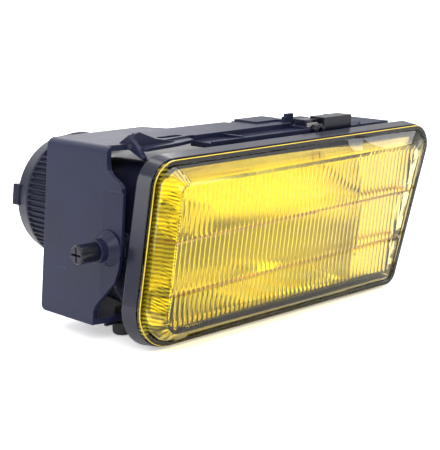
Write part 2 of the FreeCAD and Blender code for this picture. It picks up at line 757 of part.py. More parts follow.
def make_connector_socket():
    """Rectangular socket through the rear plate, with one polarising key."""
    x = connector_x
    z = connector_z
    flange = box(x - 13, x + 13, bowl_rear_y, bowl_rear_y + 2, z - 9, z + 9)
    plug = box(x - 8, x + 8, bowl_rear_y - bowl_wall, bowl_rear_y, z - 5, z + 5)
    shroud = box(x - 11, x + 11, bowl_rear_y + 2, 80.0, z - 8, z + 8)
    body = join([flange, plug, shroud])
    body = body.cut(box(x - 9.5, x + 9.5, bowl_rear_y + 2, 81.0, z - 6.5, z + 6.5))
    key = box(x - 2, x + 2, bowl_rear_y + 2, 78.0, z - 6.5, z - 5.5)
    return tidy(body.fuse(key).cut(make_connector_pins()))


def make_connector_pins():
    """Two flat blades set in the socket."""
    pins = []
    for side in (-1, 1):
        x = connector_x + side * pin_spacing / 2
        pins.append(box(x - 0.4, x + 0.4, 56.0, 76.0, connector_z - 1.5, connector_z + 1.5))
    return Part.makeCompound(pins)


def make_lead(points, radius, bend_radius):
    """A round lead along straight runs joined by tangent arcs."""
    edges = []
    here = points[0]
    for index in range(1, len(points) - 1):
        corner = points[index]
        before = (points[index - 1] - corner).normalize()
        after = (points[index + 1] - corner).normalize()
        half_angle = before.getAngle(after) / 2
        reach = bend_radius / math.tan(half_angle)
        start = corner + before * reach
        end = corner + after * reach
        bisector = (before + after).normalize()
        middle = corner + bisector * (bend_radius / math.sin(half_angle) - bend_radius)
        edges.append(Part.makeLine(here, start))
        edges.append(Part.Arc(start, middle, end).toShape())
        here = end
    edges.append(Part.makeLine(here, points[-1]))
    path = Part.Wire(edges)
    section = Part.Wire([Part.makeCircle(radius, points[0], points[1] - points[0])])
    return path.makePipeShell([section], True, False)


def make_supply_lead():
    """Lead from the bulb terminal, over the neck edge, to the supply blade."""
    over_z = bulb_z + 20.5
    pin_x = connector_x + pin_spacing / 2
    points = [
        Vector(bulb_x, 76.5, bulb_z + 6.0),
        Vector(bulb_x, 76.5, over_z),
        Vector(bulb_x, lead_y, over_z),
        Vector(pin_x, lead_y, over_z),
        Vector(pin_x, lead_y, connector_z + 1.5),
    ]
    return make_lead(points, lead_radius, 3.5)


def make_earth_lead():
    """Lead from the holder plate to the earth blade."""
    pin_x = connector_x - pin_spacing / 2 - 0.4
    points = [
        Vector(bulb_x + 18.4, seat_y - 1.2, bulb_z),
        Vector(bulb_x + 28.0, seat_y - 1.2, bulb_z),
        Vector(bulb_x + 36.0, seat_y - 2.2, connector_z),
        Vector(pin_x, seat_y - 2.2, connector_z),
    ]
    return make_lead(points, lead_radius, 4.0)


def make_vent_elbow():
    """Breather stub that turns down behind the rear plate."""
    x = vent_x
    z = vent_z
    stub = tube(3.0, 1.6, Vector(x, bowl_rear_y - bowl_wall, z), Vector(x, 70.0, z))
    collar = tube(4.4, 2.0, Vector(x, bowl_rear_y, z), Vector(x, bowl_rear_y + 1.5, z))
    drop = rod(3.0, Vector(x, 70.0, z + 3.0), Vector(x, 70.0, z - 7.0))
    drop = drop.cut(rod(1.6, Vector(x, 70.0, z + 1.0), Vector(x, 70.0, z - 8.0)))
    return join([stub.cut(rod(1.6, Vector(x, 60, z), Vector(x, 70, z))), collar, drop])


def make_cap_seal():
    """Flat seal between the neck shoulder and the cap."""
    return tube(32.4, 29.2, along_bulb(78.3), along_bulb(79.7))


def make_rear_cap():
    """Twist-off cap: grooved wall, chamfered back and a grip bar with end lugs."""
    wall = rod(cap_radius, along_bulb(cap_front_y), along_bulb(cap_chamfer_y))
    shoulder = cone(cap_radius, cap_back_radius, along_bulb(cap_chamfer_y), along_bulb(cap_back_y))
    body = wall.fuse(shoulder)
    hollow = rod(cap_inner_radius, along_bulb(cap_front_y - 1), along_bulb(103.0))
    hollow = hollow.fuse(cone(cap_inner_radius, 27.6, along_bulb(103.0), along_bulb(cap_back_y - 2.6)))
    body = tidy(body.cut(hollow))
    back = cap_back_y + grip_height
    low = bulb_z - grip_width / 2
    high = bulb_z + grip_width / 2
    bar = box(bulb_x - grip_reach, bulb_x + grip_reach, cap_back_y - 1, back, low, high)
    left_lug = box(bulb_x - grip_reach, bulb_x - 28.5, grip_lug_front_y, back, low, high)
    right_lug = box(bulb_x + 28.5, bulb_x + grip_reach, grip_lug_front_y, back, low, high)
    grip = join([bar, left_lug, right_lug])
    grip.rotate(along_bulb(0), Vector(0, 1, 0), grip_turn)
    body = tidy(body.fuse(grip))
    groove_x = bulb_x + cap_radius + 0.2
    groove = rod(0.75, Vector(groove_x, 78, bulb_z), Vector(groove_x, 101, bulb_z))
    grooves = []
    for index in range(cap_grooves):
        copy = groove.copy()
        copy.rotate(along_bulb(0), Vector(0, 1, 0), 360.0 / cap_grooves * index)
        grooves.append(copy)
    return tidy(body.cut(Part.makeCompound(grooves)))


parts = {
    "mounting_frame": make_mounting_frame,
    "left_pivot_pin": make_left_pivot_pin,
    "right_pivot_pin": make_right_pivot_pin,
    "fixing_sleeves": make_fixing_sleeves,
    "rubber_buffer": make_rubber_buffer,
    "tab_clip": make_tab_clip,
    "lamp_housing": make_lamp_housing,
    "lens": make_lens,
    "lens_gasket": make_lens_gasket,
    "reflector": make_reflector,
    "reflector_screws": make_reflector_screws,
    "bulb_shield": make_bulb_shield,
    "bulb_glass": make_bulb_glass,
    "bulb_filament": make_bulb_filament,
    "bulb_base": make_bulb_base,
    "bulb_insulator": make_bulb_insulator,
    "bulb_contact": make_bulb_contact,
    "bulb_holder_plate": make_bulb_holder_plate,
    "bulb_spring_clip": make_bulb_spring_clip,
    "clip_brackets": make_clip_brackets,
    "connector_socket": make_connector_socket,
    "connector_pins": make_connector_pins,
    "supply_terminal": make_supply_terminal,
    "supply_lead": make_supply_lead,
    "earth_lead": make_earth_lead,
    "vent_elbow": make_vent_elbow,
    "pivot_bushes": make_pivot_bushes,
    "adjuster_nut": make_adjuster_nut,
    "adjuster_screw": make_adjuster_screw,
    "adjuster_clips": make_adjuster_clips,
    "rear_cap": make_rear_cap,
    "cap_seal": make_cap_seal,
}

for node, make in parts.items():
    shape = make()
    shape.translate(shift)
    shape.exportStep("parts/" + node + ".step")
    bounds = shape.BoundBox
    print(f"{node:20s} solids {len(shape.Solids)} valid {shape.isValid()} volume {shape.Volume:9.1f}"
          f" x {bounds.XMin:7.2f} {bounds.XMax:7.2f} y {bounds.YMin:7.2f} {bounds.YMax:7.2f}"
          f" z {bounds.ZMin:7.2f} {bounds.ZMax:7.2f}")
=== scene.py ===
import json
import math

import bpy
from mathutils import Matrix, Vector


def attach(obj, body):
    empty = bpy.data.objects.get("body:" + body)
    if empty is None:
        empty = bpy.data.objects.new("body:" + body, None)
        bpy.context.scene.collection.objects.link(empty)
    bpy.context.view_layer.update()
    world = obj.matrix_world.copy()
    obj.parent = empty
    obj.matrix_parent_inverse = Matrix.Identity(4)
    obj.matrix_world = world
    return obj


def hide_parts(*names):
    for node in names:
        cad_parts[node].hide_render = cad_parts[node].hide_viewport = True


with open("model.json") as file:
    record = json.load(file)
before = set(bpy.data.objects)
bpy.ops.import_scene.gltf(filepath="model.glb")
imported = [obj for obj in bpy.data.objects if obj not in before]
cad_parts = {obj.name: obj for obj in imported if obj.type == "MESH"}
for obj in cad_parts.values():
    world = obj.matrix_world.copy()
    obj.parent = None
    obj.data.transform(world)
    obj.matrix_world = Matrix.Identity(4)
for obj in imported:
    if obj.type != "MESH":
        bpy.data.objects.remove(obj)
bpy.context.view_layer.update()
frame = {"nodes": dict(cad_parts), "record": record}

scene = bpy.context.scene
# middle of the lens flange, which the lens and the cap are measured from
lensCentre = Vector((0.003315, -0.05048, 0.0426))


def at(x, y, z):
    # millimetres from the lens flange centre to metres in the frame
    return lensCentre + Vector((x, y, z)) / 1000


def deselectAll():
    if bpy.context.object and bpy.context.object.mode != "OBJECT":
        bpy.ops.object.mode_set(mode="OBJECT")
    bpy.ops.object.select_all(action="DESELECT")


def makeActive(piece):
    deselectAll()
    piece.select_set(True)
    bpy.context.view_layer.objects.active = piece


def bakePlace(piece):
    makeActive(piece)
    bpy.ops.object.transform_apply(location=True, rotation=True, scale=True)


def editFaces(piece, chosen):
    # edit mode with only the faces that pass the test selected
    makeActive(piece)
    bpy.ops.object.mode_set(mode="EDIT")
    bpy.ops.mesh.select_mode(type="FACE")
    bpy.ops.mesh.select_all(action="DESELECT")
    bpy.ops.object.mode_set(mode="OBJECT")
    for face in piece.data.polygons:
        face.select = chosen(face)
    bpy.ops.object.mode_set(mode="EDIT")


def turnOutward(piece):
    editFaces(piece, lambda face: True)
    bpy.ops.mesh.normals_make_consistent(inside=False)
    bpy.ops.object.mode_set(mode="OBJECT")


def smoothShade(piece, degrees):
    makeActive(piece)
    bpy.ops.object.shade_smooth_by_angle(angle=math.radians(degrees))


# camera and light
cameraSet = {
    "place": (-0.4223, -0.4387, 0.1640), "forward": (0.6837, 0.7006, -0.2045),
    "lens": 98.4, "sensor": 36, "nearest": 0.01,
}
cameraData = bpy.data.cameras.new("camera")
cameraData.lens = cameraSet["lens"]
cameraData.sensor_width = cameraSet["sensor"]
cameraData.clip_start = cameraSet["nearest"]
camera = bpy.data.objects.new("camera", cameraData)
camera.location = cameraSet["place"]
camera.rotation_euler = Vector(cameraSet["forward"]).to_track_quat("-Z", "Y").to_euler()
scene.collection.objects.link(camera)
scene.camera = camera
scene.view_settings.view_transform = "Standard"

lightAim = Vector((0, 0, 0.04))
lightSet = {
    "keySoftbox": {"place": (-0.75, -0.75, 0.95), "size": (0.9, 0.7), "power": 9},
    "topSoftbox": {"place": (0.15, 0.1, 1.15), "size": (1.2, 0.8), "power": 10},
    "sideSoftbox": {"place": (-1.1, 0.55, 0.45), "size": (0.7, 0.7), "power": 5},
    "rightSoftbox": {"place": (1.1, -0.7, 0.6), "size": (0.6, 0.6), "power": 4},
    "backSoftbox": {"place": (0.35, 1.25, 0.62), "size": (1.4, 0.5), "power": 4.8},
}


def addSoftbox(name, spec):
    data = bpy.data.lights.new(name, "AREA")
    data.shape = "RECTANGLE"
    data.size, data.size_y = spec["size"]
    data.energy = spec["power"]
    lamp = bpy.data.objects.new(name, data)
    lamp.location = spec["place"]
    aim = lightAim - Vector(spec["place"])
    lamp.rotation_euler = aim.to_track_quat("-Z", "Y").to_euler()
    scene.collection.objects.link(lamp)


for name, spec in lightSet.items():
    addSoftbox(name, spec)

worldSet = {
    "low": 0.6, "middle": 0.8, "high": 1.15, "middleAt": 0.3, "highAt": 0.7, "seen": 1.0,
    "front": (0.25, -0.96, -0.05), "frontSpan": (0.72, 0.93), "frontDark": 0.5,
}


def buildWorld():
    # white to the eye; what the gloss reflects is brighter overhead and dim in front
    world = bpy.data.worlds.new("studio")
    scene.world = world
    world.use_nodes = True
    tree = world.node_tree
    tree.nodes.clear()
    out = tree.nodes.new("ShaderNodeOutputWorld")
    mix = tree.nodes.new("ShaderNodeMixShader")
    path = tree.nodes.new("ShaderNodeLightPath")
    seen = tree.nodes.new("ShaderNodeBackground")
    seen.inputs["Strength"].default_value = worldSet["seen"]
    seen.inputs["Color"].default_value = (1, 1, 1, 1)
    reflected = tree.nodes.new("ShaderNodeBackground")
    coords = tree.nodes.new("ShaderNodeTexCoord")
    split = tree.nodes.new("ShaderNodeSeparateXYZ")
    ramp = tree.nodes.new("ShaderNodeValToRGB")
    low, middle, high = worldSet["low"], worldSet["middle"], worldSet["high"]
    ramp.color_ramp.elements[0].position = 0.0
    ramp.color_ramp.elements[0].color = (low, low, low * 1.03, 1)
    ramp.color_ramp.elements[1].position = worldSet["highAt"]
    ramp.color_ramp.elements[1].color = (high, high, high * 1.02, 1)
    step = ramp.color_ramp.elements.new(worldSet["middleAt"])
    step.color = (middle, middle, middle * 1.03, 1)
    toward = tree.nodes.new("ShaderNodeVectorMath")
    toward.operation = "DOT_PRODUCT"
    toward.inputs[1].default_value = Vector(worldSet["front"]).normalized()
    shade = tree.nodes.new("ShaderNodeMapRange")
    shade.interpolation_type = "SMOOTHSTEP"
    shade.inputs["From Min"].default_value, shade.inputs["From Max"].default_value = worldSet["frontSpan"]
    shade.inputs["To Min"].default_value = 1.0
    shade.inputs["To Max"].default_value = worldSet["frontDark"]
    link = tree.links.new
    link(coords.outputs["Generated"], split.inputs[0])
    link(split.outputs["Z"], ramp.inputs["Fac"])
    link(coords.outputs["Generated"], toward.inputs[0])
    link(toward.outputs["Value"], shade.inputs["Value"])
    link(ramp.outputs["Color"], reflected.inputs["Color"])
    link(shade.outputs["Result"], reflected.inputs["Strength"])
    link(path.outputs["Is Camera Ray"], mix.inputs["Fac"])
    link(reflected.outputs[0], mix.inputs[1])
    link(seen.outputs[0], mix.inputs[2])
    link(mix.outputs[0], out.inputs["Surface"])


buildWorld()
print("camera, lights and world are ready")


# shared finishes
def mathNode(tree, operation, first, second=None):
    node = tree.nodes.new("ShaderNodeMath")
    node.operation = operation
    for socket, value in zip(node.inputs, (first, second)):
        if isinstance(value, (int, float)):
            socket.default_value = value
        elif value is not None:
            tree.links.new(value, socket)
    return node.outputs[0]


def ranged(tree, value, low, high):
    # 0 at low and 1 at high
    node = tree.nodes.new("ShaderNodeMapRange")
    node.inputs["From Min"].default_value, node.inputs["From Max"].default_value = low, high
    tree.links.new(value, node.inputs["Value"])
    return node.outputs["Result"]


def smoothMask(tree, value, low, high):
    # 0 at low and 1 at high, eased between
    result = ranged(tree, value, low, high)
    result.node.interpolation_type = "SMOOTHSTEP"
    return result


def noise(tree, place, scale, detail=2):
    node = tree.nodes.new("ShaderNodeTexNoise")
    node.inputs["Detail"].default_value = detail
    if isinstance(scale, (int, float)):
        node.inputs["Scale"].default_value = scale
    else:
        tree.links.new(scale, node.inputs["Scale"])
    tree.links.new(place, node.inputs["Vector"])
    return node.outputs["Fac"]


def newGroup(name, sockets):
    group = bpy.data.node_groups.new(name, "ShaderNodeTree")
    for label, way, kind, value in sockets:
        socket = group.interface.new_socket(name=label, in_out=way, socket_type=kind)
        if value is not None:
            socket.default_value = value
    return group, group.nodes.new("NodeGroupInput"), group.nodes.new("NodeGroupOutput")


grainSet = {"fine": 1500.0, "slow": 38, "slowShare": 2.0}
# edge turn and unevenness for the pale edge line, which is partly wear and partly a painted highlight
wearAndHighlightSet = {"turn": (0.985, 0.80), "uneven": 220}
dustSet = {"specks": 420, "dotSpan": (0.13, 0.05), "patches": 60, "patchSpan": (0.52, 0.75)}


def buildMouldGrain():
    # fine moulded texture with slow unevenness of the surface
    group, source, out = newGroup("mouldGrain", [
        ("Vector", "INPUT", "NodeSocketVector", None),
        ("Size", "INPUT", "NodeSocketFloat", 1.0),
        ("Height", "OUTPUT", "NodeSocketFloat", None),
        ("Tone", "OUTPUT", "NodeSocketFloat", None),
    ])
    place = source.outputs["Vector"]
    fine = noise(group, place, mathNode(group, "DIVIDE", grainSet["fine"], source.outputs["Size"]), 3)
    slow = noise(group, place, grainSet["slow"])
    both = mathNode(group, "ADD", mathNode(group, "MULTIPLY", slow, grainSet["slowShare"]), fine)
    group.links.new(both, out.inputs["Height"])
    group.links.new(slow, out.inputs["Tone"])
    return group


def buildEdgeWearAndHighlight():
    # lighter line along hard edges, partly wear and partly a painted highlight, and a normal that rounds
    # them a little
    group, source, out = newGroup("edgeWearAndHighlight", [
        ("Vector", "INPUT", "NodeSocketVector", None),
        ("Radius", "INPUT", "NodeSocketFloat", 0.0006),
        ("Mask", "OUTPUT", "NodeSocketFloat", None),
        ("Normal", "OUTPUT", "NodeSocketVector", None),
    ])
    rounding = group.nodes.new("ShaderNodeBevel")
    rounding.samples = 6
    geometry = group.nodes.new("ShaderNodeNewGeometry")
    dot = group.nodes.new("ShaderNodeVectorMath")
    dot.operation = "DOT_PRODUCT"
    link = group.links.new
    link(source.outputs["Radius"], rounding.inputs["Radius"])
    link(rounding.outputs[0], dot.inputs[0])
    link(geometry.outputs["Normal"], dot.inputs[1])
    edges = ranged(group, dot.outputs["Value"], *wearAndHighlightSet["turn"])
    uneven = noise(group, source.outputs["Vector"], wearAndHighlightSet["uneven"])
    link(mathNode(group, "MULTIPLY", edges, uneven), out.inputs["Mask"])
    link(rounding.outputs[0], out.inputs["Normal"])
    return group


def buildDust():
    # scattered fine specks, in patches
    group, source, out = newGroup("fineDust", [
        ("Vector", "INPUT", "NodeSocketVector", None),
        ("Amount", "INPUT", "NodeSocketFloat", 0.3),
        ("Mask", "OUTPUT", "NodeSocketFloat", None),
    ])
    place = source.outputs["Vector"]
    specks = group.nodes.new("ShaderNodeTexVoronoi")
    specks.inputs["Scale"].default_value = dustSet["specks"]
    group.links.new(place, specks.inputs["Vector"])
    dots = ranged(group, specks.outputs["Distance"], *dustSet["dotSpan"])
    sparse = ranged(group, noise(group, place, dustSet["patches"]), *dustSet["patchSpan"])
    mask = mathNode(group, "MULTIPLY", mathNode(group, "MULTIPLY", dots, sparse), source.outputs["Amount"])
    group.links.new(mask, out.inputs["Mask"])
    return group


mouldGrain = buildMouldGrain()
edgeWearAndHighlight = buildEdgeWearAndHighlight()
fineDust = buildDust()


def useGroup(tree, group, coords, values):
    node = tree.nodes.new("ShaderNodeGroup")
    node.node_tree = group
    tree.links.new(coords, node.inputs["Vector"])
    for label, value in values.items():
        node.inputs[label].default_value = value
    return node


def mixColour(tree, mask, first, second):
    node = tree.nodes.new("ShaderNodeMix")
    node.data_type = "RGBA"
    tree.links.new(mask, node.inputs["Factor"])
    for socket, colour in ((node.inputs["A"], first), (node.inputs["B"], second)):
        if isinstance(colour, tuple):
            socket.default_value = colour
        else:
            tree.links.new(colour, socket)
    return node.outputs["Result"]


def spread(tree, value, low, high):
    node = tree.nodes.new("ShaderNodeMapRange")
    node.inputs["From Min"].default_value = 0.3
    node.inputs["From Max"].default_value = 0.7
    node.inputs["To Min"].default_value = low
    node.inputs["To Max"].default_value = high
    tree.links.new(value, node.inputs["Value"])
    return node.outputs["Result"]


def startMaterial(name):
    material = bpy.data.materials.new(name)
    material.use_nodes = True
    tree = material.node_tree
    shader = tree.nodes["Principled BSDF"]
    coords = tree.nodes.new("ShaderNodeTexCoord")
    return material, tree, shader, coords.outputs["Object"]


def addBump(tree, shader, height, strength, distance, normal=None):
    node = tree.nodes.new("ShaderNodeBump")
    node.inputs["Strength"].default_value = strength
    node.inputs["Distance"].default_value = distance
    tree.links.new(height, node.inputs["Height"])
    if normal:
        tree.links.new(normal, node.inputs["Normal"])
    tree.links.new(node.outputs[0], shader.inputs["Normal"])


def roughen(tree, shader, tone, rough, change):
    # roughness that varies slowly about its mean
    varied = spread(tree, tone, rough * (1 - change), rough * (1 + change))
    tree.links.new(varied, shader.inputs["Roughness"])


dustColour = (0.35, 0.34, 0.33)
glassIndex = 1.42


def moulded(name, colour, edgeWearAndHighlightColour, rough, grain=1.0, bump=0.08, dust=0.25, wearAndHighlight=0.7, gloss=0.5):
    # moulded plastic or rubber: grain, slow tone change, pale edges that are partly wear and partly a
    # painted highlight, a little dust
    material, tree, shader, place = startMaterial(name)
    grainNode = useGroup(tree, mouldGrain, place, {"Size": grain})
    wearAndHighlightNode = useGroup(tree, edgeWearAndHighlight, place, {"Radius": 0.0005})
    dustNode = useGroup(tree, fineDust, place, {"Amount": dust})
    deep = tuple(c * 0.82 for c in colour) + (1,)
    light = tuple(c * 1.18 for c in colour) + (1,)
    tone = mixColour(tree, spread(tree, grainNode.outputs["Tone"], 0, 1), deep, light)
    # pale edge colour along hard edges: partly wear, partly a painted highlight
    wornAndHighlit = mathNode(tree, "MULTIPLY", wearAndHighlightNode.outputs["Mask"], wearAndHighlight)
    wornAndHighlit = mixColour(tree, wornAndHighlit, tone, edgeWearAndHighlightColour + (1,))
    dusty = mixColour(tree, dustNode.outputs["Mask"], wornAndHighlit, dustColour + (1,))
    tree.links.new(dusty, shader.inputs["Base Color"])
    roughen(tree, shader, grainNode.outputs["Tone"], rough, 0.12)
    addBump(tree, shader, grainNode.outputs["Height"], bump, 0.0003, wearAndHighlightNode.outputs["Normal"])
    shader.inputs["Specular IOR Level"].default_value = gloss
    return material


def metallic(name, colour, dark, rough, streak=1.0, bump=0.05, stretch=(1, 1, 1)):
    # plated or bare metal with drawn streaks and slow clouding
    material, tree, shader, place = startMaterial(name)
    turn = tree.nodes.new("ShaderNodeMapping")
    turn.inputs["Scale"].default_value = stretch
    tree.links.new(place, turn.inputs["Vector"])
    grainNode = useGroup(tree, mouldGrain, turn.outputs[0], {"Size": streak})
    tone = mixColour(tree, spread(tree, grainNode.outputs["Tone"], 0, 1), dark + (1,), colour + (1,))
    tree.links.new(tone, shader.inputs["Base Color"])
    roughen(tree, shader, grainNode.outputs["Tone"], rough, 0.3)
    shader.inputs["Metallic"].default_value = 1.0
    addBump(tree, shader, grainNode.outputs["Height"], bump, 0.0002)
    return material


def lensZones(tree, shader, split, colour, zones):
    # painted light: the top wall gets a duller, paler tint as painted shade and painted sheen, the two cross
    # grooves get painted shade, and the left wall's ribs get painted shade in the troughs and a painted glow
    # on the crests
    height = split.outputs["Z"]
    # top wall: a duller, paler tint that is painted shade and painted sheen
    colour = mixColour(tree, smoothMask(tree, height, *zones["topSpan"]), colour, zones["topPaintedShadeAndSheen"] + (1,))
    # darker tint at the two cross grooves: painted shade
    for groove in zones["grooves"]:
        away = mathNode(tree, "ABSOLUTE", mathNode(tree, "SUBTRACT", height, groove))
        groovePaintedShadeMask = smoothMask(tree, away, *zones["grooveSpan"])
        colour = mixColour(tree, groovePaintedShadeMask, colour, zones["groovePaintedShade"] + (1,))
    lean = mathNode(tree, "MULTIPLY", height, zones["lean"])
    across = mathNode(tree, "SUBTRACT", split.outputs["X"], lean)
    inner = smoothMask(tree, across, *zones["leftInner"])
    outer = smoothMask(tree, across, *zones["leftOuter"])
    wall = mathNode(tree, "MULTIPLY", inner, outer)
    # darker tint in the left wall's rib troughs: painted shade
    wave = mathNode(tree, "SINE", mathNode(tree, "MULTIPLY", height, 2 * math.pi / zones["ribPitch"]))
    troughPaintedShade = mathNode(tree, "MULTIPLY", wall, smoothMask(tree, wave, *zones["troughSpan"]))
    colour = mixColour(tree, troughPaintedShade, colour, zones["ribTroughPaintedShade"] + (1,))
    # glow on the left wall's rib crests, by emission: painted light
    crest = mathNode(tree, "MULTIPLY", wall, smoothMask(tree, wave, *zones["crestSpan"]))
    shader.inputs["Emission Color"].default_value = zones["leftPaintedGlowTint"] + (1,)
    tree.links.new(mathNode(tree, "MULTIPLY", crest, zones["leftPaintedGlow"]), shader.inputs["Emission Strength"])
    return colour


def clearGlass(
        name, tints, span, rough, bump, shadowTint, gloss=0.5, cloudTint=(0.97, 0.98, 0.98), zones=None):
    # clear or tinted lens material, the tint fading from one end to the other, on the yellow lens into a
    # paler right end that is a painted reflection; lamps shine through it
    material, tree, shader, place = startMaterial(name)
    grainNode = useGroup(tree, mouldGrain, place, {"Size": 4.0})
    split = tree.nodes.new("ShaderNodeSeparateXYZ")
    tree.links.new(place, split.inputs[0])
    # on the yellow lens the paler right end is a painted reflection
    along = smoothMask(tree, split.outputs["X"], *span)
    fade = mixColour(tree, along, tints[0] + (1,), tints[1] + (1,))
    cloud = mixColour(tree, spread(tree, grainNode.outputs["Tone"], 0, 0.08), fade, cloudTint + (1,))
    if zones:
        cloud = lensZones(tree, shader, split, cloud, zones)
    tree.links.new(cloud, shader.inputs["Base Color"])
    roughen(tree, shader, grainNode.outputs["Tone"], rough, 0.4)
    shader.inputs["Transmission Weight"].default_value = 1.0
    shader.inputs["IOR"].default_value = glassIndex
    shader.inputs["Specular IOR Level"].default_value = gloss
    addBump(tree, shader, grainNode.outputs["Height"], bump, 0.0002)
    path = tree.nodes.new("ShaderNodeLightPath")
    through = tree.nodes.new("ShaderNodeBsdfTransparent")
    through.inputs["Color"].default_value = shadowTint + (1,)
    mix = tree.nodes.new("ShaderNodeMixShader")
    out = tree.nodes["Material Output"]
    tree.links.new(path.outputs["Is Shadow Ray"], mix.inputs["Fac"])
    tree.links.new(shader.outputs[0], mix.inputs[1])
    tree.links.new(through.outputs[0], mix.inputs[2])
    tree.links.new(mix.outputs[0], out.inputs["Surface"])
    return material


# painted light on the yellow lens: top wall shade and sheen, groove shade, rib shade and glow
lensPaintedLight = {
    "topSpan": (0.0752, 0.0762), "topPaintedShadeAndSheen": (0.51, 0.45, 0.26),
    "grooves": (0.0504, 0.0273), "grooveSpan": (0.0009, 0.0005), "groovePaintedShade": (0.50, 0.25, 0.004),
    "lean": 0.1756, "leftInner": (-0.0903, -0.0912), "leftOuter": (-0.0952, -0.0944),
    "leftPaintedGlowTint": (0.82, 0.69, 0.03), "leftPaintedGlow": 0.29,
    "ribPitch": 0.00185, "ribTroughPaintedShade": (0.60, 0.46, 0.012), "troughSpan": (0.1, -0.7), "crestSpan": (-0.6, 0.8),
}

finishes = {
    "black_frame": moulded(
        "satinBlackFrame", (0.0095, 0.012, 0.033), (0.070, 0.078, 0.125), 0.39, 1.0, 0.10, gloss=0.20),
    "black_pin": moulded(
        "polishedBlackPin", (0.005, 0.006, 0.013), (0.05, 0.055, 0.075), 0.24, 2.0, 0.03, 0.1, gloss=0.3),
    "black_gloss": moulded(
        "glossBlackBowl", (0.0085, 0.0095, 0.021), (0.07, 0.075, 0.11), 0.17, 2.5, 0.02, 0.15, gloss=0.34),
    "black_cap": moulded(
        "mattBlackCap", (0.005, 0.0065, 0.019), (0.050, 0.055, 0.090), 0.44, 0.8, 0.12, gloss=0.16),
    "black_rubber": moulded(
        "softBlackRubber", (0.014, 0.014, 0.016), (0.03, 0.03, 0.032), 0.72, 0.7, 0.2, 0.4, 0.3),
    "white_nylon": moulded(
        "naturalNylon", (0.34, 0.33, 0.30), (0.42, 0.41, 0.38), 0.42, 1.4, 0.05, 0.1, 0.4),
    "ceramic_white": moulded(
        "bulbCeramic", (0.78, 0.76, 0.70), (0.85, 0.84, 0.8), 0.55, 0.6, 0.15, 0.0, 0.3),
    "red_lead": moulded(
        "redLeadSleeve", (0.42, 0.02, 0.015), (0.5, 0.06, 0.05), 0.40, 1.2, 0.05, 0.1, 0.2),
    "brown_lead": moulded(
        "brownLeadSleeve", (0.12, 0.05, 0.02), (0.2, 0.1, 0.06), 0.42, 1.2, 0.05, 0.1, 0.2),
    "mirror_coating": metallic(
        "vacuumMirror", (0.93, 0.93, 0.92), (0.86, 0.86, 0.86), 0.045, 6.0, 0.02),
    "bright_shield": metallic(
        "brightBulbShield", (0.80, 0.80, 0.79), (0.62, 0.62, 0.62), 0.16, 2.0, 0.04),
    "zinc_steel": metallic("zincSteel", (0.66, 0.67, 0.68), (0.48, 0.49, 0.50), 0.30, 1.5, 0.08),
    "spring_steel": metallic(
        "springSteelWire", (0.58, 0.58, 0.60), (0.40, 0.40, 0.42), 0.24, 1.5, 0.06, (1, 1, 0.2)),
    "tungsten": metallic("tungstenCoil", (0.42, 0.42, 0.44), (0.22, 0.22, 0.24), 0.38, 0.4, 0.3),
    "contact_brass": metallic(
        "contactBrass", (0.78, 0.56, 0.24), (0.58, 0.40, 0.16), 0.28, 1.5, 0.06),
    "clear_glass": clearGlass(
        "bulbGlass", ((0.97, 0.98, 0.98), (0.99, 0.99, 0.99)), (-0.05, -0.04), 0.01, 0.01,
        (0.95, 0.95, 0.95)),
    "yellow_lens": clearGlass(
        "yellowLens", ((0.91, 0.745, 0.02), (0.885, 0.75, 0.36)), (-0.02, 0.105), 0.012, 0.01,
        (0.97, 0.91, 0.55), 0.02, (0.84, 0.72, 0.08), lensPaintedLight),
}
lensEdge = moulded("yellowLensEdge", (0.60, 0.43, 0.02), (0.80, 0.62, 0.10), 0.14, 4.0, 0.02, 0.0, 0.8)
print("finishes are ready:", len(finishes))

for part in frame["record"]["subparts"]:
    piece = frame["nodes"][part["node"]]
    piece.data.materials.clear()
    piece.data.materials.append(finishes[part["material_slot"]])


# outlines of the lens and rim
# corners go clockwise from the top left, in millimetres from the lens centre
flangeCorners = [(-85.8, 41.0), (109.5, 41.0), (78.3, -41.0), (-100.1, -41.0)]
flangeRadii = [13.0, 10.5, 8.0, 17.0]
faceCorners = [(-80.9, 33.0), (95.0, 32.2), (69.0, -35.5), (-92.4, -32.5)]
faceRadii = [6.0, 6.0, 5.0, 7.0]


def insetCorners(corners, amount):
    lines = []
    for i, (x0, z0) in enumerate(corners):
        x1, z1 = corners[(i + 1) % 4]
        run = math.hypot(x1 - x0, z1 - z0)
        along = ((x1 - x0) / run, (z1 - z0) / run)
        lines.append(((x0 + along[1] * amount, z0 - along[0] * amount), along))
    moved = []
    for i in range(4):
        (px, pz), (ax, az) = lines[i - 1]
        (qx, qz), (bx, bz) = lines[i]
        step = ((qx - px) * bz - (qz - pz) * bx) / (ax * bz - az * bx)
        moved.append((px + ax * step, pz + az * step))
    return moved


